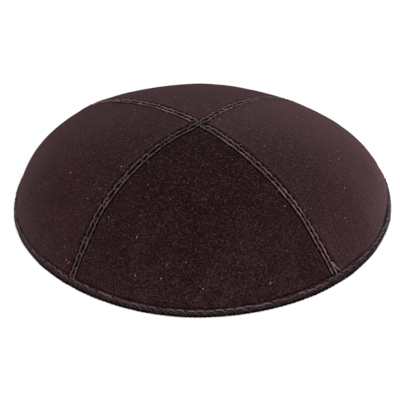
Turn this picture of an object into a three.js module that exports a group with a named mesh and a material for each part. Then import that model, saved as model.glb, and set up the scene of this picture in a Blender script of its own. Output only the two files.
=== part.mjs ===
// Kippah skullcap: four suede gores sewn into a low dome, with a narrow suede binding folded over the rim.
//
// Millimetres, +Z up. The cap stands on its rim on the plane z = 0. The crown is above the origin, which is
// the middle of the rim on that plane. Azimuths are degrees from +X, anticlockwise from above, so the front
// (-Y) is at 270. Every piece is one closed wall, and neighbouring pieces keep a small gap.

import * as THREE from 'three';

// ---- Driving dimensions ----

const RIM_RADIUS = 84; // outer face of the gores at the rest plane
const DOME_HEIGHT = 40.5; // outer face of the crown above the rest plane
const SHOULDER = 4; // swell of the shoulder outside a plain spherical cap

const SUEDE = 1.2; // thickness of one layer of a gore
const ALLOWANCE = 3.5; // width of the seam allowance folded back under each gore's edge
const ALLOWANCE_STEP = 1.5; // width over which the pared edge of the allowance thins to nothing
const GAP = 0.3; // clearance between neighbouring pieces

const BINDING = 0.9; // thickness of the binding strip
const BINDING_TOP = 3; // height of both edges of the binding above the rest plane
const BINDING_ROUND = 0.4; // rounding of the binding's folds and of its outer edge

// ---- The dome's outline, going anticlockwise ----
// fullness: how far the shoulder swells beyond the common swell. spread: how far the rim is pushed out.
// twist: degrees that a seam has turned by the time it reaches the crown. sway: degrees that it strays
// where it passes over the shoulder.

const SEAMS = [
  { azimuth: 48, twist: 3, sway: 0, fullness: -1, spread: 0 },
  { azimuth: 138, twist: -6, sway: 0, fullness: 2, spread: 0.5 },
  { azimuth: 227, twist: -9, sway: 0.8, fullness: -3, spread: -2 },
  { azimuth: 312, twist: 2, sway: -0.9, fullness: -2.5, spread: 0.5 },
];
const SWAY_SHARE = 0.84; // share of the way down a seam where its sway is greatest
const SWAY_SPREAD = 0.15; // share of its length over which the sway dies away

// Each gore runs from the seam in the same row to the next one, and these values hold at its middle.
const GORES = [
  { name: 'panel_back', fullness: -0.2, spread: 0 },
  { name: 'panel_left', fullness: 3.5, spread: -1.5 },
  { name: 'panel_front', fullness: 0, spread: 0 },
  { name: 'panel_right', fullness: 2.4, spread: 0 },
];

// ---- How finely the walls are faceted ----

const ROWS = 14; // from the crown to the foot of a gore
const HEM_SHARE = 0.975; // one more row at this share, where a gore goes in under the binding
const SPANS = 14; // across a gore, between its two doubled edges
const COLUMNS = SPANS + 5; // with two more columns of points at each doubled edge
const TIP_RADIUS = 0.35; // each gore's point stays this far from the axis, clear of the other three

// ---- Materials ----

const suede = new THREE.MeshStandardMaterial({ color: 0x352325, roughness: 0.95, metalness: 0 });
const bindingSuede = new THREE.MeshStandardMaterial({ color: 0x3d2b2e, roughness: 0.9, metalness: 0 });

// ---- The dome ----

const CAP_RADIUS = (RIM_RADIUS ** 2 + DOME_HEIGHT ** 2) / (2 * DOME_HEIGHT);
const CAP_ANGLE = Math.asin(RIM_RADIUS / CAP_RADIUS);
const SWELL_SCALE = 256 / 27; // makes the largest value of fall ** 3 * (1 - fall) equal to 1

// The seams and the gores' middles in order of azimuth, once round the cap.
const outline = SEAMS.flatMap((seam, k) => {
  const next = SEAMS[(k + 1) % SEAMS.length].azimuth + (k + 1 < SEAMS.length ? 0 : 360);
  return [seam, { ...GORES[k], azimuth: (seam.azimuth + next) / 2 }];
});

// Fullness and spread at any azimuth, eased from one row of the outline to the next.
function outlineAt(azimuth) {
  const start = outline[0].azimuth;
  const turned = start + THREE.MathUtils.euclideanModulo(azimuth - start, 360);
  const k = outline.findLastIndex((row) => row.azimuth <= turned);
  const from = outline[k];
  const to = outline[(k + 1) % outline.length];
  const end = k + 1 < outline.length ? to.azimuth : start + 360;
  const share = THREE.MathUtils.smoothstep(turned, from.azimuth, end);
  return {
    fullness: THREE.MathUtils.lerp(from.fullness, to.fullness, share),
    spread: THREE.MathUtils.lerp(from.spread, to.spread, share),
  };
}

// Radius and height of the gores' outer face. fall is 0 at the crown and 1 at the rest plane.
function meridian(azimuth, fall) {
  const { fullness, spread } = outlineAt(azimuth);
  const angle = CAP_ANGLE * fall;
  const reach = CAP_RADIUS + (SHOULDER + fullness) * SWELL_SCALE * fall ** 3 * (1 - fall);
  return new THREE.Vector2(
    reach * Math.sin(angle) + spread * fall * fall,
    reach * Math.cos(angle) - (CAP_RADIUS - DOME_HEIGHT),
  );
}

// A point inside the wall, depth below the outer face and square to it. A negative depth is outside.
function wallPoint(azimuth, fall, depth) {
  const step = 0.001;
  const down = meridian(azimuth, fall + step).sub(meridian(azimuth, fall - step)).normalize();
  const point = meridian(azimuth, fall).add(new THREE.Vector2(down.y, -down.x).multiplyScalar(depth));
  const turn = THREE.MathUtils.degToRad(azimuth);
  return new THREE.Vector3(point.x * Math.cos(turn), point.x * Math.sin(turn), point.y);
}

// The fall at which the surface at this depth passes a given height near the rim.
function fallAtHeight(azimuth, depth, height) {
  let above = 0.5;
  let below = 1.1;
  for (let halving = 0; halving < 40; halving += 1) {
    const middle = (above + below) / 2;
    if (wallPoint(azimuth, middle, depth).z > height) above = middle;
    else below = middle;
  }
  return (above + below) / 2;
}

function wallPointAtHeight(azimuth, depth, height) {
  return wallPoint(azimuth, fallAtHeight(azimuth, depth, height), depth);
}

// Azimuth of a seam, share of the way from the crown to the rim. Seam 4 is seam 0 after a whole turn.
function seamAzimuth(k, share) {
  const seam = SEAMS[k % SEAMS.length];
  const strayed = seam.sway * Math.exp(-(((share - SWAY_SHARE) / SWAY_SPREAD) ** 2));
  return seam.azimuth + 360 * Math.floor(k / SEAMS.length) + seam.twist * (1 - share) + strayed;
}

// The columns across gore k: two under each doubled edge, and evenly spaced ones between.
function goreColumns(k, share) {
  const from = seamAzimuth(k, share);
  const to = seamAzimuth(k + 1, share);
  const radius = meridian((from + to) / 2, share).x;
  const degrees = THREE.MathUtils.radToDeg(1 / radius);
  const width = (to - from) / degrees - GAP;
  const folded = Math.min(ALLOWANCE, width / 4);
  const single = Math.min(ALLOWANCE + ALLOWANCE_STEP, width / 3);
  const distances = [0, folded];
  for (let span = 0; span <= SPANS; span += 1) {
    distances.push(THREE.MathUtils.lerp(single, width - single, span / SPANS));
  }
  distances.push(width - folded, width);
  return distances.map((distance, j) => ({
    azimuth: from + (GAP / 2 + distance) * degrees,
    depth: j < 2 || j >= COLUMNS - 2 ? 2 * SUEDE : SUEDE,
  }));
}

// ---- Closed meshes from rows of points ----

// Collects the corners and triangles of one solid. A point object used twice is one shared corner.
class Skin {
  corners = new Map();
  triangles = [];

  quad(a, b, c, d) {
    this.triangle(a, b, c);
    this.triangle(a, c, d);
  }

  triangle(...points) {
    if (new Set(points).size < 3) return;
    for (const point of points) {
      if (!this.corners.has(point)) this.corners.set(point, this.corners.size);
      this.triangles.push(this.corners.get(point));
    }
  }

  geometry() {
    const geometry = new THREE.BufferGeometry().setFromPoints([...this.corners.keys()]);
    geometry.setIndex(this.triangles);
    geometry.computeVertexNormals();
    return geometry;
  }
}

// A wall between two grids of points whose rows run downwards and whose columns run anticlockwise.
function wallGeometry(outer, inner) {
  const skin = new Skin();
  const lastRow = outer.length - 1;
  const last = outer[0].length - 1;
  for (let i = 0; i < lastRow; i += 1) {
    for (let j = 0; j < last; j += 1) {
      skin.quad(outer[i][j], outer[i + 1][j], outer[i + 1][j + 1], outer[i][j + 1]);
      skin.quad(inner[i][j], inner[i][j + 1], inner[i + 1][j + 1], inner[i + 1][j]);
    }
    skin.quad(inner[i][0], inner[i + 1][0], outer[i + 1][0], outer[i][0]);
    skin.quad(outer[i][last], outer[i + 1][last], inner[i + 1][last], inner[i][last]);
  }
  for (let j = 0; j < last; j += 1) {
    skin.quad(outer[lastRow][j], inner[lastRow][j], inner[lastRow][j + 1], outer[lastRow][j + 1]);
  }
  return skin.geometry();
}

// A closed ring through equal sections, each a closed loop of points.
function ringGeometry(sections) {
  const skin = new Skin();
  sections.forEach((section, i) => {
    const next = sections[(i + 1) % sections.length];
    section.forEach((point, j) => {
      const k = (j + 1) % section.length;
      skin.quad(point, section[k], next[k], next[j]);
    });
  });
  return skin.geometry();
}

// ---- The pieces ----

// One gore: a pointed leaf of suede, doubled along both seams. Its foot is cut level, inside the binding.
function goreMesh(k) {
  const foot = BINDING + GAP;
  const onRow = (share, azimuth, depth) => (
    wallPoint(azimuth, share * fallAtHeight(azimuth, depth, foot), depth)
  );
  const tipAzimuth = (seamAzimuth(k, 0) + seamAzimuth(k + 1, 0)) / 2;
  const tipFall = TIP_RADIUS / (CAP_RADIUS * CAP_ANGLE);
  const tips = [0, 2 * SUEDE].map((depth) => wallPoint(tipAzimuth, tipFall, depth));
  const outer = [new Array(COLUMNS).fill(tips[0])];
  const inner = [new Array(COLUMNS).fill(tips[1])];
  const shares = Array.from({ length: ROWS }, (_, row) => (row + 1) / ROWS);
  shares.splice(-1, 0, HEM_SHARE);
  for (const share of shares) {
    const columns = goreColumns(k, share);
    outer.push(columns.map(({ azimuth }) => onRow(share, azimuth, 0)));
    inner.push(columns.map(({ azimuth, depth }) => onRow(share, azimuth, depth)));
  }
  const mesh = new THREE.Mesh(wallGeometry(outer, inner), suede);
  mesh.name = GORES[k].name;
  return mesh;
}

// The binding's section at one column of a gore's foot, starting at its outer edge and going down.
function bindingSection({ azimuth, depth }) {
  const outside = -GAP - BINDING;
  const inside = depth + GAP + BINDING;
  const profile = [
    { depth: outside + BINDING_ROUND, height: BINDING_TOP },
    { depth: outside, height: BINDING_TOP - BINDING_ROUND },
    { depth: outside, height: BINDING_ROUND },
    { depth: outside + BINDING_ROUND, height: 0 },
    { depth: inside - BINDING_ROUND, height: 0 },
    { depth: inside, height: BINDING_ROUND },
    { depth: inside, height: BINDING_TOP },
    { depth: depth + GAP, height: BINDING_TOP },
    { depth: depth + GAP, height: BINDING },
    { depth: -GAP, height: BINDING },
    { depth: -GAP, height: BINDING_TOP },
  ];
  return profile.map((corner) => wallPointAtHeight(azimuth, corner.depth, corner.height));
}

function bindingMesh() {
  const columns = GORES.flatMap((_, k) => goreColumns(k, 1));
  const mesh = new THREE.Mesh(ringGeometry(columns.map(bindingSection)), bindingSuede);
  mesh.name = 'rim_binding';
  return mesh;
}

const kippah = new THREE.Group();
kippah.add(...GORES.map((_, k) => goreMesh(k)));
kippah.add(bindingMesh());

export default kippah;
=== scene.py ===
"""Kippah skullcap: the looks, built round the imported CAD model.

Four suede gores, a folded suede binding round the rim, and the thread that holds them. The shapes are worked
out in millimetres on the dome that the CAD source describes, and become metres when a mesh is made.
Azimuths are degrees from +X, anticlockwise from above, so the front (-Y) is at 270.
"""

import math

import bpy
import numpy as np
from mathutils import Matrix, Vector


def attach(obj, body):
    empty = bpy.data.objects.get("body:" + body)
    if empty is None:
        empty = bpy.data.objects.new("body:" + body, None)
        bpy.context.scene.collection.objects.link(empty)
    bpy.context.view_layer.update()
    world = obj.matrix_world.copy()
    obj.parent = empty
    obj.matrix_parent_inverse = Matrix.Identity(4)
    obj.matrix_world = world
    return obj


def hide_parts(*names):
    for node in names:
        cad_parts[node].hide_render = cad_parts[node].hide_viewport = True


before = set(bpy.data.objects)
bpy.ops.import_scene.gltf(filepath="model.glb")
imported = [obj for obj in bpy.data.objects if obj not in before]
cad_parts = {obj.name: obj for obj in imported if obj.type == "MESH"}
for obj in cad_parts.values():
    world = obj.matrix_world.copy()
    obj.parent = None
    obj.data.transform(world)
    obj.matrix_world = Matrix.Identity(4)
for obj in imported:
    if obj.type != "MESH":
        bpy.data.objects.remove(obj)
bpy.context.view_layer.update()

MM = 0.001
SEED = 7

# ---- The dome, as in the CAD source (millimetres) ----

RIM_RADIUS = 84.0
DOME_HEIGHT = 40.5
SHOULDER = 4.0
SUEDE = 1.2  # thickness of one layer of a gore
ALLOWANCE = 3.5  # width of the seam allowance folded back under a gore's edge
PARED = 0.7  # width over which the allowance's cut edge thins to nothing
BINDING = 0.9  # thickness of the binding strip
BINDING_TOP = 3.0  # height of the binding's edges
BINDING_ROUND = 0.5  # radius of the binding's folds
FOOT = BINDING + 0.3  # height of the gores' cut edge, inside the binding

# Azimuth, fullness and spread at each seam and at the middle of each gore, once round the cap.
OUTLINE = np.array([
    (48.0, -1.0, 0.0),
    (93.0, -0.2, 0.0),
    (138.0, 2.0, 0.5),
    (182.5, 3.5, -1.5),
    (227.0, -3.0, -2.0),
    (269.5, 0.0, 0.0),
    (312.0, -2.5, 0.5),
    (360.0, 2.4, 0.0),
    (408.0, -1.0, 0.0),
])

# azimuth, twist and sway are the CAD's. straighten turns a seam near the crown, so that the long seam runs
# over it without a corner. rows: half the distance between its two rows of stitches, high up and low down.
# pitch: length of one topstitch. groove: how deeply the presser foot marked the suede beside the rows.
SEAMS = {
    "back_right": dict(azimuth=48.0, twist=3.0, sway=0.0, straighten=-6.5,
                       rows=(1.15, 1.1), pitch=3.8, groove=0.55),
    "back_left": dict(azimuth=138.0, twist=-6.0, sway=0.0, straighten=0.0,
                      rows=(1.15, 1.1), pitch=3.9, groove=0.7),
    "front_left": dict(azimuth=227.0, twist=-9.0, sway=0.8, straighten=6.5,
                       rows=(1.15, 1.1), pitch=3.8, groove=0.85),
    "front_right": dict(azimuth=312.0, twist=2.0, sway=-0.9, straighten=0.0,
                        rows=(1.15, 1.0), pitch=3.4, groove=0.95),
}
SWAY_SHARE = 0.84  # share of a seam's length at which it sways furthest
SWAY_SPREAD = 0.15
STRAIGHTEN_SHARE = 0.09  # share of a seam's length over which it is straightened

# Each gore: CAD node, the seam at its lower azimuth, and the one at its higher azimuth.
GORES = {
    "gore_back": ("panel_back", "back_right", "back_left"),
    "gore_left": ("panel_left", "back_left", "front_left"),
    "gore_front": ("panel_front", "front_left", "front_right"),
    "gore_right": ("panel_right", "front_right", "back_right"),
}
# Each gore has its own darker and lighter colour of its brushed patches, and its own sheen. They differ
# mostly as painted light and shade, lighter where more light fell, and partly as each gore's own nap.
GORE_NAPS_AND_LIGHT = {
    "gore_back": ((0.0052, 0.0009, 0.0007), (0.0092, 0.0022, 0.0020), 0.100),
    "gore_left": ((0.0064, 0.0010, 0.0008), (0.0116, 0.0023, 0.0018), 0.088),
    "gore_front": ((0.0082, 0.0034, 0.0034), (0.0148, 0.0070, 0.0070), 0.038),
    "gore_right": ((0.0076, 0.0018, 0.0014), (0.0134, 0.0040, 0.0034), 0.113),
}

CAP_RADIUS = (RIM_RADIUS**2 + DOME_HEIGHT**2) / (2 * DOME_HEIGHT)
CAP_ANGLE = math.asin(RIM_RADIUS / CAP_RADIUS)
SWELL_SCALE = 256 / 27  # one over the greatest value of fall cubed times (1 - fall)
PAST_RIM = 1.1  # a fall that is well below the rest plane
HALVINGS = 32  # steps in finding a fall

# ---- Stitches and seams (millimetres) ----

THREAD = 0.27  # radius of the thread
SEAM_HALF_GAP = 0.04  # from a seam's centre line to a gore's folded edge
FOLD = 0.6  # radius of a gore's folded edge
LONG_SEAM_HIDES = 1.2  # the short seams start this far from the crown, under the long seam
UNDER_BINDING = 1.2  # the topstitches end this far from the gores' foot, under the binding
ROWS_NARROW = (30, 55)  # a seam's two rows draw together between these distances from the crown
RIM_PITCH = 3.9  # length of one stitch round the rim
RIM_ROW = 2.7  # height of the rim stitches' holes

def hill(distance, width):
    return np.exp(-((distance / width) ** 2))


def ease(value, low, high):
    share = np.clip((value - low) / (high - low), 0, 1)
    return share * share * (3 - 2 * share)


# ---- The dome's surface ----


def outline_at(azimuth):
    """Fullness and spread at these azimuths, eased from one row of OUTLINE to the next."""
    start = OUTLINE[0, 0]
    turned = start + np.mod(azimuth - start, 360)
    row = np.clip(np.searchsorted(OUTLINE[:, 0], turned, side="right") - 1, 0, len(OUTLINE) - 2)
    eased = ease(turned, OUTLINE[row, 0], OUTLINE[row + 1, 0])
    fullness = OUTLINE[row, 1] + (OUTLINE[row + 1, 1] - OUTLINE[row, 1]) * eased
    spread = OUTLINE[row, 2] + (OUTLINE[row + 1, 2] - OUTLINE[row, 2]) * eased
    return fullness, spread


def meridian(azimuth, fall):
    """Radius and height of the gores' outer face. fall is 0 at the crown and 1 at the rest plane."""
    fullness, spread = outline_at(azimuth)
    angle = CAP_ANGLE * fall
    reach = CAP_RADIUS + (SHOULDER + fullness) * SWELL_SCALE * fall**3 * (1 - fall)
    radius = reach * np.sin(angle) + spread * fall * fall
    height = reach * np.cos(angle) - (CAP_RADIUS - DOME_HEIGHT)
    return radius, height


def on_wall(azimuth, fall, out):
    """Points at a distance out from the gores' outer face, square to it. Inside the wall, out is negative."""
    step = 0.001
    azimuth, fall, out = np.broadcast_arrays(azimuth, fall, out)
    radius, height = meridian(azimuth, fall)
    radius_below, height_below = meridian(azimuth, fall + step)
    radius_above, height_above = meridian(azimuth, fall - step)
    run, drop = radius_below - radius_above, height_above - height_below
    length = np.hypot(run, drop)
    radius = radius + out * drop / length
    height = height + out * run / length
    turn = np.radians(azimuth)
    return np.stack([radius * np.cos(turn), radius * np.sin(turn), height], -1)


def solve_fall(test, shape, low, high):
    """The fall between low and high at which test(fall), true above, turns false, by halving."""
    above, below = np.full(shape, low), np.full(shape, high)
    for _ in range(HALVINGS):
        middle = (above + below) / 2
        still_above = test(middle)
        above = np.where(still_above, middle, above)
        below = np.where(still_above, below, middle)
    return (above + below) / 2


def fall_at_height(azimuth, out, height):
    """The fall at which the surface at this distance out passes a height near the rim."""
    azimuth, out, height = np.broadcast_arrays(azimuth, out, height)
    return solve_fall(lambda fall: on_wall(azimuth, fall, out)[..., 2] > height, azimuth.shape, 0.5, PAST_RIM)


def over(xy, out):
    """Points out from the outer face, above or below these horizontal positions on it."""
    radius = np.hypot(xy[..., 0], xy[..., 1])
    azimuth = np.degrees(np.arctan2(xy[..., 1], xy[..., 0]))
    fall = solve_fall(lambda fall: meridian(azimuth, fall)[0] < radius, radius.shape, 0.0, PAST_RIM)
    return on_wall(azimuth, fall, out)


# ---- Seam lines ----


def seam_azimuth(seam, share):
    """Azimuth of a seam, share of the way from the crown to the gores' foot."""
    given = SEAMS[seam]
    stray = given["sway"] * np.exp(-(((share - SWAY_SHARE) / SWAY_SPREAD) ** 2))
    straightened = given["straighten"] * np.exp(-((share / STRAIGHTEN_SHARE) ** 2))
    return given["azimuth"] + given["twist"] * (1 - share) + stray + straightened


class SeamLine:
    """The centre line of a seam: horizontal points, and the true distance from the crown to each one.

    The long seam is one line over the crown, with negative distances on its second seam's side."""

    SAMPLES = 900
    CHUNK = 2000  # points compared with the line at a time

    def __init__(self, name, down, up=None):
        self.name = name
        share = np.linspace(0, 1, self.SAMPLES)
        points, along = self._half(down, share)
        if up:
            other, other_along = self._half(up, share)
            points = np.concatenate([other[:0:-1], points])
            along = np.concatenate([-other_along[:0:-1], along])
        self.points = points[:, :2]
        self.along = along
        tangent = np.gradient(self.points, axis=0)
        self.tangent = tangent / np.linalg.norm(tangent, axis=1, keepdims=True)
        self.ends = (along[0], along[-1])
        self.one_sided = up is None
        self.rows = SEAMS[down]["rows"]
        self.pitch = SEAMS[down]["pitch"]
        self.grooves = (SEAMS[up or down]["groove"], SEAMS[down]["groove"])

    @staticmethod
    def _half(seam, share):
        azimuth = seam_azimuth(seam, share)
        foot = fall_at_height(azimuth[-1:], 0.0, FOOT)[0]
        points = on_wall(azimuth, share * foot, 0.0)
        steps = np.linalg.norm(np.diff(points, axis=0), axis=1)
        return points, np.concatenate([[0], np.cumsum(steps)])

    def nearest(self, xy):
        """Distance along the line, and signed distance to its left, of the point nearest each of xy."""
        along, side = np.empty(len(xy)), np.empty(len(xy))
        for start in range(0, len(xy), self.CHUNK):
            chunk = slice(start, start + self.CHUNK)
            part = xy[chunk]
            gaps = ((part[:, None] - self.points[None]) ** 2).sum(-1)
            k = gaps.argmin(1)
            offset = part - self.points[k]
            forward = (offset * self.tangent[k]).sum(1)
            along[chunk] = self.along[k] + forward
            side[chunk] = self.tangent[k, 0] * offset[:, 1] - self.tangent[k, 1] * offset[:, 0]
        return along, side

    def at(self, along, left):
        """Horizontal points beside the line, left of it by these distances."""
        point = np.stack([np.interp(along, self.along, self.points[:, k]) for k in (0, 1)], -1)
        tangent = np.stack([np.interp(along, self.along, self.tangent[:, k]) for k in (0, 1)], -1)
        normal = np.stack([-tangent[..., 1], tangent[..., 0]], -1)
        return point + normal * np.asarray(left)[..., None]

    def row_offset(self, along):
        """Half the distance between the two rows of stitches, which narrows down the seam."""
        top, low = self.rows
        return top + (low - top) * ease(np.abs(along), *ROWS_NARROW)

    def groove(self, along):
        """How deeply the suede is marked beside the rows, eased over the crown on the long seam."""
        before, after = self.grooves
        return before + (after - before) * ease(along, -8.0, 8.0)

    def towards_back(self, along):
        """1 on the back half of the long seam and 0 everywhere else, eased beside the crown."""
        return ease(-along, 0.0, 20.0)

    def phase(self, side):
        """Where the needle holes of a row start. The two rows are half a stitch apart."""
        return np.where(side > 0, 0.0, self.pitch / 2)


LONG_SEAM = SeamLine("long_seam", "front_left", "back_right")
SHORT_FRONT = SeamLine("front_seam", "front_right")
SHORT_BACK = SeamLine("back_seam", "back_left")
SHORT_SEAM_OF = {
    "gore_back": SHORT_BACK,
    "gore_left": SHORT_BACK,
    "gore_front": SHORT_FRONT,
    "gore_right": SHORT_FRONT,
}


# ---- Relief of the suede (millimetres) ----

# Each is a depth or a height, and a width. An offset is from the row of stitches, away from the seam.
CHANNEL = (0.16, 0.4)  # along a row of stitches
HOLE = (0.38, 0.42)  # at each needle hole
HOLE_OFFSET = -0.25
FOOT_MARK = (0.42, 0.36)  # where the presser foot ran
FOOT_MARK_OFFSET = 0.95
SWELL = (0.13, 0.9)  # beyond the presser foot's mark
SWELL_OFFSET = 2.3
PUCKER = 0.16
PUCKER_LENGTH = 9.0
PUCKER_REACH = 5.0
BODY_WAVES = ((0.30, 38.0, 1), (0.07, 13.0, 2), (0.02, 4.5, 3))  # height, length and seed
BODY_STARTS = 4  # they and the inner side's ripples reach their full height this far from a seam
INNER_WAVES = ((0.06, 5.0, 21), (0.2, 38.0, 1))  # the same for the inner side
BINDING_DIP = (0.22, 0.4)  # where the binding holds the suede
BINDING_SWELL = (0.12, 1.0)  # above that
BINDING_SWELL_RISE = 1.8  # how far above the binding's edge
# How far the nap is flattened and painted darker, and the width of that: painted shade with real flattened
# nap.
FLAT_SEAM = 0.7  # it lies quite flat in the middle of a seam
FLAT_FOOT_MARK = 0.45
FLAT_FOOT_MARK_OFFSET = 0.85
FLAT_AT_HOLE = 0.8
FLAT_ALONG_HOLE = 0.5
FLAT_ACROSS_HOLE = 0.6
FLAT_AT_BINDING = (0.8, 0.3)


def waves(points, length, seed, count=7):
    """Smooth unevenness between about -1 and 1, with waves of about this length."""
    rng = np.random.default_rng(SEED + seed)
    total = np.zeros(points.shape[:-1])
    for _ in range(count):
        way = rng.normal(size=3)
        way *= 2 * math.pi / (length * rng.uniform(0.75, 1.35) * np.linalg.norm(way))
        total += np.sin(points @ way + rng.uniform(0, 2 * math.pi))
    return total / math.sqrt(count)


def seam_relief(line, along, side):
    """How far the seam lifts or sinks the suede beside it, and how much flattened nap and painted shade it
    gives.
    """
    distance = np.abs(side)
    row = line.row_offset(along)
    present = ease(np.abs(along), LONG_SEAM_HIDES - 0.4, LONG_SEAM_HIDES + 0.4) if line.one_sided else 1.0
    inward = np.clip(1 - distance / FOLD, 0, 1)
    to_hole = np.mod(along - line.phase(side) + line.pitch / 2, line.pitch) - line.pitch / 2
    fold = -FOLD * (1 - np.sqrt(1 - inward**2))
    channel = -CHANNEL[0] * hill(distance - row, CHANNEL[1])
    hole = -HOLE[0] * hill(np.hypot(distance - row - HOLE_OFFSET, to_hole), HOLE[1])
    marked = line.groove(along) * hill(distance - row - FOOT_MARK_OFFSET, FOOT_MARK[1])
    swell = SWELL[0] * hill(distance - row - SWELL_OFFSET, SWELL[1])
    lift = present * (fold + channel + hole - FOOT_MARK[0] * marked + swell)
    beside = line.groove(along) * hill(distance - row - FLAT_FOOT_MARK_OFFSET, FLAT_FOOT_MARK)
    round_hole = FLAT_AT_HOLE * hill(to_hole, FLAT_ALONG_HOLE) * hill(distance - row, FLAT_ACROSS_HOLE)
    flattened_and_shaded = present * np.clip(hill(distance, FLAT_SEAM) + beside + round_hole, 0, 1)
    return lift, flattened_and_shaded


def pucker(points, distance):
    """The suede draws up in shallow waves close to a seam."""
    return PUCKER * waves(points, PUCKER_LENGTH, 11) * hill(distance, PUCKER_REACH)


def body_relief(points, kinds=BODY_WAVES):
    """The gentle unevenness of soft leather that stands by itself."""
    return sum(height * waves(points, length, seed) for height, length, seed in kinds)


# ---- Meshes ----


def make_object(name, points, faces, materials, face_materials=None, shade=None):
    """A smooth mesh object from millimetre points and rows of four corners.

    A corner that repeats the one before it is left out, so some faces are triangles. shade is a value at each
    point, for the material."""
    kept = faces != np.roll(faces, 1, axis=1)
    counts = kept.sum(1)
    real = counts > 2
    faces, kept, counts = faces[real], kept[real], counts[real]
    mesh = bpy.data.meshes.new(name)
    mesh.vertices.add(len(points))
    mesh.vertices.foreach_set("co", (points * MM).astype(np.float32).ravel())
    mesh.loops.add(int(counts.sum()))
    mesh.loops.foreach_set("vertex_index", faces[kept].astype(np.int32))
    mesh.polygons.add(len(faces))
    mesh.polygons.foreach_set("loop_start", np.concatenate([[0], np.cumsum(counts)[:-1]]).astype(np.int32))
    for material in materials:
        mesh.materials.append(material)
    if face_materials is not None:
        mesh.polygons.foreach_set("material_index", face_materials[real].astype(np.int32))
    if shade is not None:
        attribute = mesh.attributes.new("shade", "FLOAT", "POINT")
        attribute.data.foreach_set("value", shade.astype(np.float32))
    mesh.update(calc_edges=True)
    mesh.validate()
    mesh.shade_smooth()
    obj = bpy.data.objects.new(name, mesh)
    bpy.context.scene.collection.objects.link(obj)
    return obj


def grid_faces(index, flip=False):
    """Rows of four corners over a grid of point numbers."""
    faces = np.stack([index[:-1, :-1], index[1:, :-1], index[1:, 1:], index[:-1, 1:]], -1).reshape(-1, 4)
    return faces[:, ::-1] if flip else faces


# ---- Gores ----

GORE_ROW_STEP = 0.6
EDGE_COLUMNS = (0.0, 0.1, 0.2, 0.32, 0.45, 0.6, 0.78, 0.96, 1.14, 1.34, 1.56, 1.8, 2.05, 2.32, 2.6, 2.95,
                3.3, 3.6, 3.9, 4.2, 4.6, 5.2)
EDGE_COLUMNS_SHARE = 0.36  # the most of a row's width that the columns beside one seam take
MIDDLE_COLUMN_STEP = 2.2
INNER_ROUNDING = 0.35  # how far the wall thins at a seam, on its inner side
INNER_ROUNDING_WIDTH = 0.5
POINT_FALL = 0.0004  # where a gore's two faces come to a point, beside the crown
CREASE_SHADE_FROM = 0.55  # shaded more than this, a face takes the dark suede without sheen: painted shade in the creases
NAP_INDEX = 0  # the materials of a gore, in order; the binding has the first two
CREASE_SHADE_INDEX = 1
FLESH_INDEX = 2
CROWN_PAINTED_SHADE = 0.52  # how much shade is painted on the nap round the crown, a little towards the front
CROWN_SHADE_MIDDLE = (0.0, -12.0)
CROWN_SHADE_RADII = (22.0, 80.0)  # it fades between these distances


def gore_grid(first, second):
    """Azimuth and fall of a gore's grid, one row of points after another, from its point to its foot."""
    rows = round(LONG_SEAM.ends[1] / GORE_ROW_STEP)
    share = np.linspace(0, 1, rows + 1)[1:]
    start, end = seam_azimuth(first, share), seam_azimuth(second, share)
    end = np.where(end < start, end + 360, end)
    middle = (start + end) / 2
    radius = meridian(middle, share * fall_at_height(middle, 0.0, FOOT))[0]
    width = np.radians(end - start) * radius - 2 * SEAM_HALF_GAP
    edge = np.array(EDGE_COLUMNS)
    squeeze = np.minimum(1, EDGE_COLUMNS_SHARE * width / edge[-1])
    spans = round((width[-1] - 2 * edge[-1]) / MIDDLE_COLUMN_STEP)
    inner = np.linspace(0, 1, spans + 1)[1:-1]
    near = edge[None] * squeeze[:, None]
    between = near[:, -1:] + (width[:, None] - 2 * near[:, -1:]) * inner[None]
    across = np.concatenate([near, between, width[:, None] - near[:, ::-1]], 1)
    azimuth = start[:, None] + np.degrees((across + SEAM_HALF_GAP) / radius[:, None])
    fall = share[:, None] * fall_at_height(azimuth, 0.0, FOOT)
    return azimuth, fall, across, width[:, None] - across


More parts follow.
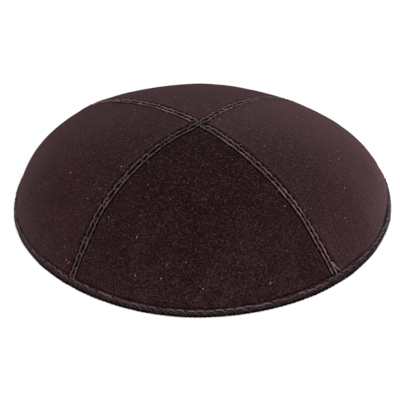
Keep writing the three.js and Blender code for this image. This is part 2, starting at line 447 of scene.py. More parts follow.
def gore_mesh(name, suede, crease_shade_suede, flesh):
    """One gore as a closed wall: napped outer face, folded edges, plain inner face with its allowances."""
    _, first, second = GORES[name]
    azimuth, fall, from_first, from_second = gore_grid(first, second)
    base = on_wall(azimuth, fall, 0.0)
    flat = base.reshape(-1, 3)
    short = SHORT_SEAM_OF[name]
    long_along, long_side = LONG_SEAM.nearest(flat[:, :2])
    short_along, short_side = short.nearest(flat[:, :2])
    long_lift, long_pressed_and_shaded = seam_relief(LONG_SEAM, long_along, long_side)
    short_lift, short_pressed_and_shaded = seam_relief(short, short_along, short_side)
    nearest_seam = np.minimum(np.abs(long_side), np.abs(short_side))
    rim_height = flat[:, 2] - BINDING_TOP
    dip = -BINDING_DIP[0] * hill(np.clip(rim_height, 0, None), BINDING_DIP[1])
    tuck = dip + BINDING_SWELL[0] * hill(rim_height - BINDING_SWELL_RISE, BINDING_SWELL[1])
    lift = np.where(np.abs(long_lift) > np.abs(short_lift), long_lift, short_lift)
    lift = lift + pucker(flat, nearest_seam) + body_relief(flat) * ease(nearest_seam, 0, BODY_STARTS) + tuck
    # Painted shade: the nap is painted darker just above the binding's edge.
    under_edge = FLAT_AT_BINDING[0] * hill(np.clip(rim_height - 0.1, 0, None), FLAT_AT_BINDING[1])
    # Painted shade: the nap is painted darker round the crown, a little towards the front.
    from_crown_shade = np.hypot(flat[:, 0] - CROWN_SHADE_MIDDLE[0], flat[:, 1] - CROWN_SHADE_MIDDLE[1])
    crown_shade = CROWN_PAINTED_SHADE * (1 - ease(from_crown_shade, *CROWN_SHADE_RADII))
    pressed_and_shaded = np.maximum(np.maximum(long_pressed_and_shaded, short_pressed_and_shaded), np.maximum(under_edge, crown_shade))
    outer = on_wall(azimuth, fall, lift.reshape(azimuth.shape))

    edge = np.minimum(from_first, from_second)
    doubled = 1 - ease(edge, ALLOWANCE - PARED / 2, ALLOWANCE + PARED / 2)
    rounding = INNER_ROUNDING * (1 - ease(edge, 0.0, INNER_ROUNDING_WIDTH))
    depth = SUEDE * (1 + doubled) - rounding
    ripple = body_relief(base, INNER_WAVES)
    inner = on_wall(azimuth, fall, -depth + ripple * ease(edge, 0, BODY_STARTS))

    rows, columns = azimuth.shape
    tip_azimuth = (seam_azimuth(first, 0.0) + seam_azimuth(second, 0.0)) / 2
    if seam_azimuth(second, 0.0) < seam_azimuth(first, 0.0):
        tip_azimuth += 180
    tips = on_wall(tip_azimuth, POINT_FALL, np.array([-FOLD, -2 * SUEDE]))
    points = np.concatenate([outer.reshape(-1, 3), inner.reshape(-1, 3), tips])
    body = np.arange(rows * columns).reshape(rows, columns)
    outer_index = np.concatenate([np.full((1, columns), len(points) - 2), body])
    inner_index = np.concatenate([np.full((1, columns), len(points) - 1), body + rows * columns])
    outer_faces = grid_faces(outer_index)
    other_faces = np.concatenate([
        grid_faces(inner_index, flip=True),
        grid_faces(np.stack([inner_index[:, 0], outer_index[:, 0]], 1)),
        grid_faces(np.stack([outer_index[:, -1], inner_index[:, -1]], 1)),
        grid_faces(np.stack([outer_index[-1], inner_index[-1]], 0)),
    ])
    faces = np.concatenate([outer_faces, other_faces])
    shade = np.concatenate([pressed_and_shaded, np.zeros(rows * columns), [1, 0]])
    shaded_creases = shade[outer_faces].mean(1) > CREASE_SHADE_FROM
    outer_kinds = np.where(shaded_creases, CREASE_SHADE_INDEX, NAP_INDEX)
    kinds = np.concatenate([outer_kinds, np.full(len(other_faces), FLESH_INDEX)])
    return make_object(name, points, faces, [suede, crease_shade_suede, flesh], kinds, shade)


# ---- Binding ----

BINDING_COLUMNS = 1200
BINDING_WAVES = ((0.10, 16.0, 31), (0.06, 5.0, 32))  # height, length and seed
BINDING_GAP = 0.05  # between the gores' faces and the strip
BINDING_TOP_ROUND = 0.6  # radius of the strip's upper edge
RIDGES_PER_STITCH = 3  # slanting ridges that the rim stitches draw in the strip
RIDGE_SLANT = 1.1  # how far they run along the rim for each millimetre that they drop
RIDGE_HEIGHT = 0.28
RIDGE_MIDDLE = 1.15  # height above the rest plane at which they stand out most
RIDGE_SPREAD = 0.9
RIM_GROOVE = (0.14, 0.35)  # depth and width of the groove that the stitches lie in
RIM_HOLE = (0.3, 0.5)  # the same of each needle hole
RIM_HOLE_DROP = 0.6  # how far the holes are under the row
SERRATION = 0.09  # half the depth of the notches in the fold, two to each stitch


def rim_frame():
    """Azimuths round the rim at equal distances along it, and those distances."""
    fine = np.linspace(0, 360, 3601)
    points = on_wall(fine, fall_at_height(fine, 0.0, BINDING_TOP), 0.0)
    along = np.concatenate([[0], np.cumsum(np.linalg.norm(np.diff(points, axis=0), axis=1))])
    return fine, along


RIM_AZIMUTH, RIM_ALONG = rim_frame()
RIM_LENGTH = RIM_ALONG[-1]
RIM_STITCHES = round(RIM_LENGTH / RIM_PITCH)
RIM_STEP = RIM_LENGTH / RIM_STITCHES


def rim_azimuth(along):
    turns = np.floor(along / RIM_LENGTH)
    return np.interp(along - turns * RIM_LENGTH, RIM_ALONG, RIM_AZIMUTH) + 360 * turns


def gore_depth_at_rim(azimuth):
    """Thickness of the gores inside the binding: doubled beside each seam."""
    depth = np.full(np.shape(azimuth), SUEDE)
    for seam in SEAMS.values():
        away = np.abs(np.mod(azimuth - seam["azimuth"] + 180, 360) - 180)
        distance = np.radians(away) * RIM_RADIUS
        depth = np.maximum(depth, SUEDE * (2 - ease(distance, ALLOWANCE, ALLOWANCE + 1.5)))
    return depth


def binding_out(height):
    """How far the binding's outer face stands out from the gores at this height, round its upper edge."""
    drop = np.clip((height - (BINDING_TOP - BINDING_TOP_ROUND)) / BINDING_TOP_ROUND, 0, 1)
    return BINDING + BINDING_GAP - BINDING_TOP_ROUND * (1 - np.sqrt(1 - drop**2))


def ridge_wave(along, height):
    """1 on the crests of the slanting ridges and -1 in the creases between them."""
    return np.cos(2 * math.pi * (along + RIDGE_SLANT * height) / (RIM_STEP / RIDGES_PER_STITCH))


def binding_relief(along, height):
    """Puckers that the rim stitches draw in the binding's outer face: slanting ridges and pressed holes."""
    ridges = RIDGE_HEIGHT * ridge_wave(along, height) * hill(height - RIDGE_MIDDLE, RIDGE_SPREAD)
    to_hole = np.mod(along + RIM_STEP / 2, RIM_STEP) - RIM_STEP / 2
    groove = -RIM_GROOVE[0] * hill(height - RIM_ROW, RIM_GROOVE[1])
    hole = -RIM_HOLE[0] * hill(np.hypot(to_hole, height - RIM_ROW + RIM_HOLE_DROP), RIM_HOLE[1])
    return ridges + groove + hole


def binding_mesh(material, crease_shade_suede):
    """The strip folded over the rim: outer leg, round fold on the floor, inner leg, and its own back face."""
    along = np.linspace(0, RIM_LENGTH, BINDING_COLUMNS, endpoint=False)
    azimuth = rim_azimuth(along)
    depth = gore_depth_at_rim(azimuth)
    spot = on_wall(azimuth, 1.0, 0.0)
    wobble = body_relief(spot, BINDING_WAVES)
    top = BINDING_TOP + 0.5 * wobble
    outside, inside_out = BINDING + BINDING_GAP, -depth - BINDING
    serration = SERRATION * (1 + np.cos(2 * math.pi * along / (RIM_STEP / 2)))

    section = []  # (out, height, share of the relief), from the outer top edge down and round
    section.append((0.02, top - 0.05, 0))
    section.append((0.20, top + 0.02, 0))
    for height in (BINDING_TOP - 0.02, BINDING_TOP - 0.1, BINDING_TOP - 0.25, BINDING_TOP - 0.42):
        section.append((binding_out(height), height + 0.5 * wobble, 0.5))
    for height in np.linspace(BINDING_TOP - BINDING_TOP_ROUND, BINDING_ROUND + 0.15, 9):
        section.append((outside + 0.08 * math.sin(math.pi * (height - 0.4) / 2.4), height, 1))
    for share in (0.2, 0.45, 0.7, 1.0):
        turn = share * math.pi / 2
        section.append((outside - BINDING_ROUND * (1 - math.cos(turn)),
                        BINDING_ROUND * (1 - math.sin(turn)) + serration, 1 - share))
    outer_count = len(section)
    section.append(((outside + inside_out) / 2, serration, 0))
    for share in (0.0, 0.35, 0.7, 1.0):
        turn = share * math.pi / 2
        section.append((inside_out + BINDING_ROUND * (1 - math.sin(turn)),
                        BINDING_ROUND * (1 - math.cos(turn)) + serration * (1 - share), 0))
    for height in (1.1, 1.8, 2.4):
        section.append((inside_out - BINDING_GAP, height, 0))
    section.append((inside_out + 0.15, top - 0.08, 0))
    section.append((inside_out + 0.45, top, 0))
    section.append((-depth - 0.03, top - 0.1, 0))
    section.append((-depth - 0.03, BINDING, 0))
    section.append((-0.02, BINDING, 0))

    rings, heights = [], []
    for out, height, share in section:
        height = np.broadcast_to(height, along.shape)
        shaped = out + share * (binding_relief(along, height) + wobble)
        rings.append(on_wall(azimuth, fall_at_height(azimuth, shaped, height), shaped))
        heights.append(height)
    points = np.stack(rings, 1).reshape(-1, 3)
    index = np.arange(len(points)).reshape(BINDING_COLUMNS, len(section))
    looped = np.concatenate([index, index[:1]])
    looped = np.concatenate([looped, looped[:, :1]], 1)
    faces = grid_faces(looped.T)
    height = np.stack(heights, 1)
    # Painted shade: darker in the creases between the ridges, along the stitches' groove and towards the
    # fold's foot.
    crease = 0.5 - 0.5 * ridge_wave(along[:, None], height)
    outer = np.arange(len(section)) < outer_count
    pressed_and_shaded = crease * hill(height - 1.3, 1.0) + 0.3 * hill(height - RIM_ROW, 0.35)
    pressed_and_shaded = np.where(outer[None], pressed_and_shaded, 0) + 1 - ease(height, 0.6, 1.6)
    pressed_and_shaded = np.clip(pressed_and_shaded, 0, 1).reshape(-1)
    kinds = np.where(pressed_and_shaded[faces].mean(1) > CREASE_SHADE_FROM, CREASE_SHADE_INDEX, NAP_INDEX)
    return make_object("folded_binding", points, faces, [material, crease_shade_suede], kinds, pressed_and_shaded)


# ---- Thread ----

THREAD_SIDES = 9
PLIES = 2
PLY_RELIEF = 0.20  # share of the thread's radius
# how much lighter the plies' crests and darker their valleys are painted
PLY_SHADE = 0.45
PLY_TWIST = 3.0  # length of thread in which its plies turn once
# How light each thread is, from 0 to about 1: painted light and shade, the one thread at another lightness on
# each seam and round the rim.
THREAD_TONES = {"long_seam": 0.28, "front_seam": 0.57, "back_seam": 0.71, "rim": 0.41, "inside": 0.5}
THREAD_VARIETY = (0.45, 1.55)  # the darkest and the lightest stitch, as shares of the tone
# The lacing is painted dark, as shade in the middle of each seam.
LACING_TONES = {"long_seam": 0.27, "front_seam": 0.10, "back_seam": 0.22}
LACING_RISE = -0.16  # the lacing lies this far under the gores' outer face
LACING_REACH = 0.65  # how far it goes from the middle of the seam, as a share of the way to a row
LACING_HIDDEN = 0.42  # share of its runs that lie too deep to show
STRAND = 0.16  # radius of the fine strands over the binding
STRAND_SHADE = 0.28  # how light they are
FIBRE = 0.11  # radius of a stray fibre
STRAY_FIBRES = 9  # along each seam


def thread_tube(path, radius, painted_light=1.0):
    """Points, faces and shades of a twisted thread along a path, closed at both ends.

    Its plies are painted lighter than the shaded valleys. painted_light scales its lightness along the path."""
    tangent = np.gradient(path, axis=0)
    tangent /= np.linalg.norm(tangent, axis=1, keepdims=True)
    up = path / np.linalg.norm(path, axis=1, keepdims=True)
    across = np.cross(tangent, up)
    across /= np.linalg.norm(across, axis=1, keepdims=True)
    up = np.cross(across, tangent)
    along = np.concatenate([[0], np.cumsum(np.linalg.norm(np.diff(path, axis=0), axis=1))])
    angle = np.linspace(0, 2 * math.pi, THREAD_SIDES, endpoint=False)
    crest = np.cos(PLIES * (angle[None] + 2 * math.pi * along[:, None] / PLY_TWIST))
    ply = 1 + PLY_RELIEF * crest
    reach = np.broadcast_to(radius, len(path))[:, None] * ply
    ring = (path[:, None] + across[:, None] * (reach * np.cos(angle))[..., None]
            + up[:, None] * (reach * np.sin(angle))[..., None])
    points = np.concatenate([ring.reshape(-1, 3), path[:1], path[-1:]])
    index = np.arange(ring.shape[0] * THREAD_SIDES).reshape(ring.shape[0], THREAD_SIDES)
    index = np.concatenate([np.full((1, THREAD_SIDES), len(points) - 2), index,
                            np.full((1, THREAD_SIDES), len(points) - 1)])
    shade = (1 + PLY_SHADE * crest) * np.broadcast_to(painted_light, len(path))[:, None]
    shade = np.concatenate([shade.reshape(-1), [0, 0]])
    return points, grid_faces(np.concatenate([index, index[:, :1]], 1)), shade


def join_tubes(name, tubes, material, tone, rng):
    """One mesh of many threads, each a little lighter or darker than tone."""
    starts = np.cumsum([0] + [len(points) for points, _, _ in tubes])
    points = np.concatenate([points for points, _, _ in tubes])
    faces = np.concatenate([faces + start for (_, faces, _), start in zip(tubes, starts)])
    shade = np.concatenate([shade for _, _, shade in tubes])
    shade *= np.repeat(tone * rng.uniform(*THREAD_VARIETY, len(tubes)), np.diff(starts))
    return make_object(name, points, faces, [material], None, shade)


def seam_stitches(line, rng):
    """Both rows of topstitches on a seam, outside and in. Each bows away from the seam between its holes.

    The last ones run in under the binding."""
    share = np.linspace(-1, 1, 17)
    outside, inside = [], []
    pitch = line.pitch
    for side in (1, -1):
        phase = float(line.phase(side))
        low_end = LONG_SEAM_HIDES if line.one_sided else line.ends[0] + UNDER_BINDING
        first = (math.ceil if line.one_sided else math.floor)((low_end - phase) / pitch)
        last = math.ceil((line.ends[1] - UNDER_BINDING - phase) / pitch)
        for number in range(first, last):
            centre = phase + (number + 0.5) * pitch + rng.normal(0, 0.08)
            along = centre + share * pitch * 0.5
            along = np.clip(along, line.ends[0] + UNDER_BINDING, line.ends[1] - UNDER_BINDING)
            lean = rng.normal(0, 0.08) * share
            row = line.row_offset(along) + rng.normal(0, 0.06) + lean - 0.15 * np.abs(share) ** 3
            rise = 0.12 + rng.normal(0, 0.04) - 0.75 * np.abs(share) ** 5
            path = over(line.at(along, side * row), rise)
            if np.ptp(along) > pitch / 2:
                # Painted light: the thread is lighter on the back half of the long seam.
                painted_light = 1 + 0.4 * line.towards_back(along)
                outside.append(thread_tube(path, THREAD * (1 - 0.25 * np.abs(share) ** 4), painted_light))
            below = -2 * SUEDE - 0.05 + 0.45 * np.abs(share) ** 6
            along = np.clip(centre + (1 + share) * pitch * 0.5, line.ends[0] + 4, line.ends[1] - 4)
            path = over(line.at(along, side * line.row_offset(along)), below)
            if np.ptp(along) > pitch / 2:
                inside.append(thread_tube(path, THREAD * 0.9))
    return outside, inside


def seam_lacing(line, rng):
    """The thread that zigzags between the two rows of holes, across the folded edges."""
    share = np.linspace(0, 1, 11)
    step = line.pitch / 2
    low_end = LONG_SEAM_HIDES if line.one_sided else line.ends[0] + UNDER_BINDING + step
    rungs = []
    for number in range(math.ceil(low_end / step), math.floor((line.ends[1] - UNDER_BINDING) / step)):
        side = 1 if number % 2 == 0 else -1
        if rng.random() < LACING_HIDDEN:
            continue
        along = (number + share + rng.normal(0, 0.12)) * step
        left = side * LACING_REACH * line.row_offset(along) * np.cos(math.pi * share)
        rise = LACING_RISE + rng.normal(0, 0.04) - 0.25 * (2 * share - 1) ** 4
        # Painted light: the lacing is lighter on the back half of the long seam.
        painted_light = 1 + 1.3 * line.towards_back(along)
        rungs.append(thread_tube(over(line.at(along, left), rise), THREAD * 0.85, painted_light))
    return rungs


def rim_stitches(rng):
    """One row of slanting stitches round the binding, and the fine strands over its ridges.

    Each stitch runs along the binding's upper edge, then curls down. Its back is one straight run inside."""
    share = np.linspace(0, 1, 19)
    outside, inside = [], []
    for number in range(RIM_STITCHES):
        start = (number - 0.12 + rng.normal(0, 0.08)) * RIM_STEP
        length = RIM_STEP * (1.25 + rng.normal(0, 0.08))
        along = start + length * share
        curl = np.clip((share - 0.5) / 0.5, 0, 1)
        arch = rng.uniform(0.0, 0.25) * np.sin(math.pi * np.clip(share * 1.4, 0, 1))
        height = RIM_ROW + arch + rng.normal(0, 0.08) - (1.1 + rng.normal(0, 0.2)) * curl**1.4
        azimuth = rim_azimuth(along)
        rise = binding_out(height) + 0.12 - 0.14 * curl - 0.5 * (2 * share - 1) ** 8
        path = on_wall(azimuth, fall_at_height(azimuth, rise, height), rise)
        thickness = THREAD * (1 - 0.25 * np.abs(2 * share - 1) ** 4)
        # Painted shade: each stitch is darker where it curls down.
        outside.append(thread_tube(path, thickness, 1 - 0.85 * ease(curl, 0.1, 0.6)))
        depth = gore_depth_at_rim(azimuth)
        rise = -depth - BINDING - 0.08 + 0.5 * (2 * share - 1) ** 8
        path = on_wall(azimuth, fall_at_height(azimuth, rise, RIM_ROW - 0.3), rise)
        inside.append(thread_tube(path, THREAD * 0.9))
    for number in range(RIDGES_PER_STITCH * RIM_STITCHES):
        height = np.linspace(RIM_ROW - 0.2, rng.uniform(0.9, 1.5), 9)
        along = (number + rng.normal(0, 0.12)) * RIM_STEP / RIDGES_PER_STITCH - RIDGE_SLANT * height
        azimuth = rim_azimuth(along)
        rise = binding_out(height) + 0.02 + 0.22 * hill(height - 1.3, 0.8)
        path = on_wall(azimuth, fall_at_height(azimuth, rise, height), rise)
        # Painted shade: the strands are darker lower down the binding.
        outside.append(thread_tube(path, STRAND, STRAND_SHADE * ease(height, 0.8, 2.0)))
    return outside, inside


def loose_tail():
    """The tail of thread left at the foot of the front seam: it flicks out sideways on the suede."""
    share = np.linspace(0, 1, 21)
    along = SHORT_FRONT.ends[1] - 7.4 + 5.4 * share
    left = 1.1 + 2.3 * share**1.8 + 0.15 * np.sin(2 * math.pi * share)
    rise = 0.28 - 0.5 * np.abs(2 * share - 1) ** 8 + 0.15 * np.sin(math.pi * share)
    path = over(SHORT_FRONT.at(along, left), rise)
    return thread_tube(path, 1.15 * THREAD * (1 - 0.3 * share**3))


def stray_fibres(line, rng):
    """Short ends of fibre that stand out from the stitches and lie on the suede."""
    share = np.linspace(0, 1, 9)
    fibres = []
    for along in rng.uniform(12, line.ends[1] - 6, STRAY_FIBRES):
        side = rng.choice([-1, 1])
        length = rng.uniform(0.9, 2.0)
        bend = rng.normal(0, 0.5)
        left = side * (line.row_offset(along) + 0.1 + length * share)
        path = over(line.at(along + rng.normal(0, 0.6) * share + bend * share**2, left), 0.10 + 0.15 * share)
        fibres.append(thread_tube(path, FIBRE * (1 - 0.4 * share)))
    return fibres


# ---- Materials ----


class Nodes:
    """A new material's node tree, with short ways to add nodes and links."""

    def __init__(self, name):
        self.material = bpy.data.materials.new(name)
        self.material.use_nodes = True
        self.tree = self.material.node_tree
        self.shader = self.tree.nodes["Principled BSDF"]
        self.place = self.add("ShaderNodeTexCoord").outputs["Object"]

    def add(self, kind, **settings):
        node = self.tree.nodes.new(kind)
        for key, value in settings.items():
            setattr(node, key, value)
        return node

    def link(self, out, into):
        self.tree.links.new(out, into)

    def noise(self, size, detail=2.0, roughness=0.5, distortion=0.0):
        """Noise with features of about this size in metres."""
        node = self.add("ShaderNodeTexNoise")
        self.link(self.place, node.inputs["Vector"])
        node.inputs["Scale"].default_value = 1 / size
        node.inputs["Detail"].default_value = detail
        node.inputs["Roughness"].default_value = roughness
        node.inputs["Distortion"].default_value = distortion
        return node.outputs["Fac"]

    def grey_ramp(self, value, low, high, low_grey, high_grey):
        return self.ramp(value, low, high, (low_grey,) * 3, (high_grey,) * 3)

    def ramp(self, value, low, high, low_colour, high_colour):
        """A colour that goes from low_colour to high_colour as value goes from low to high."""
        node = self.add("ShaderNodeValToRGB")
        self.link(value, node.inputs["Fac"])
        first, last = node.color_ramp.elements
        first.position, last.position = low, high
        first.color, last.color = (*low_colour, 1), (*high_colour, 1)
        return node.outputs["Color"]

    def mix(self, factor, a, b, blend="MIX"):
        node = self.add("ShaderNodeMix", data_type="RGBA", blend_type=blend)
        for socket, given in ((node.inputs["Factor"], factor), (node.inputs[6], a), (node.inputs[7], b)):
            if isinstance(given, (int, float)):
                socket.default_value = given
            elif isinstance(given, tuple):
                socket.default_value = (*given, 1)
            else:
                self.link(given, socket)
        return node.outputs[2]

    def math(self, operation, a, b):
        node = self.add("ShaderNodeMath", operation=operation)
        for socket, given in zip(node.inputs, (a, b)):
            if isinstance(given, (int, float)):
                socket.default_value = given
            else:
                self.link(given, socket)
        return node.outputs[0]

    def attribute(self, name):
        node = self.add("ShaderNodeAttribute", attribute_name=name)
        return node.outputs["Fac"]

    def bump(self, height, strength, distance):
        node = self.add("ShaderNodeBump")
        node.inputs["Strength"].default_value = strength
        node.inputs["Distance"].default_value = distance
        self.link(height, node.inputs["Height"])
        return node.outputs["Normal"]

    def shade(self, **values):
        """Set constants on the shader's sockets, with _ for each space in a socket's name."""
        for key, value in values.items():
            self.shader.inputs[key.replace("_", " ")].default_value = value


# Sizes of the suede's textures, in metres.
BRUSHED_PATCH = 0.012
GRAIN = 0.0006
TUFT = 0.0012
TUFT_DEPTH = 0.0005
FLECK_SIZE = 0.0008
LINT_CROOK = 0.0009
LINT_BEND = 0.0006
LINT_CELLS = 230.0  # along each metre

# Colours of the suede. The brushed patches' are in GORE_NAPS_AND_LIGHT, and the binding's in build_cap.
CROWN_SHADE_COLOUR = (0.0030, 0.0001, 0.0001)  # painted shade on the nap round the crown
PRESSED_SHADE_COLOUR = (0.0012, 0.0003, 0.0002)  # painted shade in the seams' grooves and by the binding, on nap pressed flat beside the stitches
FLECK = (0.038, 0.0170, 0.0170)  # tips of the nap that catch the light
FLECK_IN_CROWN_SHADE = (0.050, 0.0240, 0.0235)  # the same, a little lighter, where shade is painted round the crown
FAINT_LINT = (0.01, 0.009, 0.009)
CLEAR_LINT = (0.36, 0.31, 0.32)
SUEDE_SHEEN_TINT = (1.0, 0.62, 0.68, 1)
THREAD_SHEEN_TINT = (1.0, 0.75, 0.82, 1)


def suede_material(name, dark, light, sheen, speckled):
    """Napped suede: brushed patches, fine grain and lighter flecks. The mesh's shade paints shade on the nap.

    speckled adds a few lint specks."""
    nodes = Nodes(name)
    brushed = nodes.noise(BRUSHED_PATCH, detail=3.0, roughness=0.6, distortion=0.6)
    colour = nodes.ramp(brushed, 0.35, 0.68, dark, light)
    grain = nodes.noise(GRAIN, detail=2.0, roughness=0.8)
    grain_shade = nodes.grey_ramp(grain, 0.38, 0.64, 0.10, 2.1)
    colour = nodes.mix(1.0, colour, grain_shade, "MULTIPLY")
    tuft = nodes.noise(TUFT, detail=2.0, roughness=0.7)
    tuft_shade = nodes.grey_ramp(tuft, 0.38, 0.62, 0.68, 1.32)
    colour = nodes.mix(1.0, colour, tuft_shade, "MULTIPLY")
    # Painted shade: the mesh's shade darkens the nap in the seams, by the binding and round the crown.
    flattened_and_shaded = nodes.attribute("shade")
    pressed_and_shaded = nodes.ramp(flattened_and_shaded, 0.5, 1.0, CROWN_SHADE_COLOUR, PRESSED_SHADE_COLOUR)
    colour = nodes.mix(nodes.math("MULTIPLY", flattened_and_shaded, 1.35), colour, pressed_and_shaded)
    fleck = nodes.grey_ramp(nodes.noise(FLECK_SIZE, detail=1.5, roughness=0.7), 0.55, 0.70, 0, 1)
    upright = nodes.grey_ramp(flattened_and_shaded, 0.55, 0.8, 1, 0)
    fleck_colour = nodes.ramp(flattened_and_shaded, 0.1, 0.5, FLECK, FLECK_IN_CROWN_SHADE)
    colour = nodes.mix(nodes.math("MULTIPLY", fleck, upright), colour, fleck_colour)
    if speckled:
        crook = nodes.noise(LINT_CROOK, detail=1.0)
        bent = nodes.add("ShaderNodeMixRGB", blend_type="LINEAR_LIGHT")
        bent.inputs["Fac"].default_value = LINT_BEND
        nodes.link(nodes.place, bent.inputs["Color1"])
        nodes.link(crook, bent.inputs["Color2"])
        lint = nodes.add("ShaderNodeTexVoronoi")
        nodes.link(bent.outputs["Color"], lint.inputs["Vector"])
        lint.inputs["Scale"].default_value = LINT_CELLS
        speck = nodes.grey_ramp(lint.outputs["Distance"], 0.030, 0.064, 1, 0)
        faintness = nodes.ramp(lint.outputs["Color"], 0.30, 0.62, FAINT_LINT, CLEAR_LINT)
        colour = nodes.mix(speck, colour, faintness)
    nodes.link(colour, nodes.shader.inputs["Base Color"])
    nodes.link(nodes.bump(tuft, 0.75, TUFT_DEPTH), nodes.shader.inputs["Normal"])
    nodes.shade(Roughness=0.95, Sheen_Weight=sheen, Sheen_Roughness=0.65, Specular_IOR_Level=0.0)
    nodes.shade(Sheen_Tint=SUEDE_SHEEN_TINT)
    return nodes.material


def flesh_material():
    """The gores' plain inner side: smoother, a little lighter, with fine fibres and faint marks of wear."""
    nodes = Nodes("suede_inner_side")
    mottled = nodes.noise(0.009, detail=4.0, roughness=0.65, distortion=0.3)
    colour = nodes.ramp(mottled, 0.3, 0.7, (0.026, 0.013, 0.013), (0.046, 0.027, 0.026))
    fibre = nodes.noise(0.0007, detail=3.0, roughness=0.7)
    fibre_shade = nodes.ramp(fibre, 0.3, 0.7, (0.7, 0.68, 0.68), (1.3, 1.3, 1.3))
    colour = nodes.mix(0.7, colour, fibre_shade, "MULTIPLY")
    nodes.link(colour, nodes.shader.inputs["Base Color"])
    nodes.link(nodes.bump(fibre, 0.3, 0.0003), nodes.shader.inputs["Normal"])
    nodes.shade(Roughness=0.8, Sheen_Weight=0.12, Sheen_Roughness=0.5, Specular_IOR_Level=0.25)
    return nodes.material


def thread_material():
    """Dusty mauve-brown sewing thread: uneven colour along its length, fine fibres, and a soft gloss."""
    nodes = Nodes("sewing_thread")
    patch = nodes.noise(0.0045, detail=2.0, roughness=0.6)
    # The mesh's shade holds the thread's painted light and shade.
    tone = nodes.ramp(nodes.attribute("shade"), 0.0, 1.0, (0.006, 0.0035, 0.004), (0.165, 0.098, 0.110))
    patch_shade = nodes.grey_ramp(patch, 0.35, 0.7, 0.8, 1.2)
    colour = nodes.mix(1.0, tone, patch_shade, "MULTIPLY")
    fibre = nodes.noise(0.00012, detail=2.0, roughness=0.6)
    fibre_shade = nodes.grey_ramp(fibre, 0.3, 0.7, 0.75, 1.25)
    colour = nodes.mix(0.8, colour, fibre_shade, "MULTIPLY")
    nodes.link(colour, nodes.shader.inputs["Base Color"])
    nodes.link(nodes.bump(fibre, 0.3, 0.0001), nodes.shader.inputs["Normal"])
    nodes.shade(Roughness=0.6, Sheen_Weight=0.12, Sheen_Roughness=0.4, Specular_IOR_Level=0.15)
    nodes.shade(Sheen_Tint=THREAD_SHEEN_TINT)
    return nodes.material


def floor_material():
    """A plain matt studio floor, nearly white."""
    nodes = Nodes("studio_floor")
    cloud = nodes.noise(0.4, detail=1.0)
    nodes.link(nodes.grey_ramp(cloud, 0.3, 0.7, 0.90, 0.92), nodes.shader.inputs["Base Color"])
    nodes.shade(Roughness=1.0, Specular_IOR_Level=0.0)
    return nodes.material


# ---- The pieces ----


def build_cap():
    strip = suede_material("suede_binding", (0.010, 0.0040, 0.0040), (0.017, 0.0075, 0.0076), 0.07, False)
    # A dark copy of the suede without sheen, for the creases: painted shade.
    crease_shade_suede = suede_material("suede_painted_crease_shade", (0.006, 0.0022, 0.0022), (0.009, 0.0036, 0.0036), 0.02, False)
    flesh = flesh_material()
    thread = thread_material()
    rng = np.random.default_rng(SEED)

    outer_thread, lacing, inner_thread = {}, {}, []
    for line in (LONG_SEAM, SHORT_FRONT, SHORT_BACK):
        outside, inside = seam_stitches(line, rng)
        lacing[line.name] = seam_lacing(line, rng)
        outside += stray_fibres(line, rng)
        if line is SHORT_FRONT:
            outside.append(loose_tail())
        outer_thread[line.name] = outside
        inner_thread += inside
    rim_outside, rim_inside = rim_stitches(rng)
    pieces = [join_tubes(name + "_topstitching", tubes, thread, THREAD_TONES[name], rng)
              for name, tubes in outer_thread.items()]
    pieces += [join_tubes(name + "_lacing", tubes, thread, LACING_TONES[name], rng)
               for name, tubes in lacing.items()]
    pieces.append(join_tubes("inner_seam_stitching", inner_thread, thread, THREAD_TONES["inside"], rng))
    rim_pieces = [
        join_tubes("rim_stitching", rim_outside, thread, THREAD_TONES["rim"], rng),
        join_tubes("inner_rim_stitching", rim_inside, thread, THREAD_TONES["inside"], rng),
    ]
    for piece in pieces + rim_pieces:
        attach(piece, "root")

    binding = binding_mesh(strip, crease_shade_suede)
    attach(binding, "root")
    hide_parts("rim_binding")

    for name, (node, _, _) in GORES.items():
        suede = suede_material("suede_nap_" + name, *GORE_NAPS_AND_LIGHT[name], True)
        gore = gore_mesh(name, suede, crease_shade_suede, flesh)
        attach(gore, "root")
        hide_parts(node)


# ---- Camera, lights and floor ----

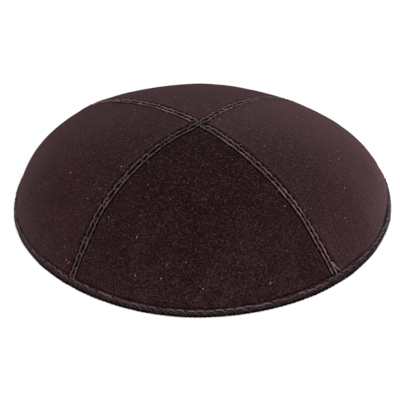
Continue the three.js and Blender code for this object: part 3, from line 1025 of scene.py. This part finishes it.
CAMERA_ELEVATION = 34.0  # degrees
CAMERA_DISTANCE = 680.0
CAMERA_ROLL = 1.42  # degrees
CAMERA_TARGET = (-0.38, 0.0, 0.27)
PIXELS = 400
PIXELS_PER_MM = 2.221  # at the target
SENSOR = 36.0
WORLD_STRENGTH = 0.16
SOFTBOX_SIZE = 0.6  # metres
SOFTBOXES = {  # place in metres, and power
    "overhead_softbox": ((0.0, 0.0, 1.2), 10.4),
    "front_softbox": ((0.1, -0.95, 0.40), 10.9),
    "back_softbox": ((0.0, 0.95, 0.25), 4.75),
    "back_right_softbox": ((0.75, 0.6, 0.22), 3.1),
}
FLOOR_HALF = 4.0  # metres


def add_camera():
    data = bpy.data.cameras.new("camera")
    data.sensor_width = SENSOR
    data.lens = PIXELS_PER_MM * CAMERA_DISTANCE / PIXELS * SENSOR
    data.clip_start, data.clip_end = 0.01, 20
    camera = bpy.data.objects.new("camera", data)
    bpy.context.scene.collection.objects.link(camera)
    rise = math.radians(CAMERA_ELEVATION)
    back = Vector((0, -math.cos(rise), math.sin(rise))) * CAMERA_DISTANCE
    place = (Vector(CAMERA_TARGET) + back) * MM
    camera.matrix_world = (Matrix.Translation(place) @ Matrix.Rotation(math.pi / 2 - rise, 4, "X")
                           @ Matrix.Rotation(-math.radians(CAMERA_ROLL), 4, "Z"))
    bpy.context.scene.camera = camera


def add_softbox(name, place, power):
    """A square soft light that faces the middle of the rim."""
    data = bpy.data.lights.new(name, "AREA")
    data.shape = "SQUARE"
    data.size = SOFTBOX_SIZE
    data.energy = power
    light = bpy.data.objects.new(name, data)
    bpy.context.scene.collection.objects.link(light)
    light.location = place
    light.rotation_euler = (-Vector(place)).to_track_quat("-Z", "Y").to_euler()


def add_studio():
    scene = bpy.context.scene
    scene.view_settings.view_transform = "Standard"
    scene.view_settings.look = "None"
    world = bpy.data.worlds.new("studio")
    world.use_nodes = True
    background = world.node_tree.nodes["Background"]
    background.inputs["Color"].default_value = (1, 1, 1, 1)
    background.inputs["Strength"].default_value = WORLD_STRENGTH
    scene.world = world
    for name, (place, power) in SOFTBOXES.items():
        add_softbox(name, place, power)
    mesh = bpy.data.meshes.new("floor")
    corners = [(x * FLOOR_HALF, y * FLOOR_HALF, 0) for x, y in ((-1, -1), (1, -1), (1, 1), (-1, 1))]
    mesh.from_pydata(corners, [], [(0, 1, 2, 3)])
    mesh.materials.append(floor_material())
    floor = bpy.data.objects.new("floor", mesh)
    scene.collection.objects.link(floor)


build_cap()
add_camera()
add_studio()
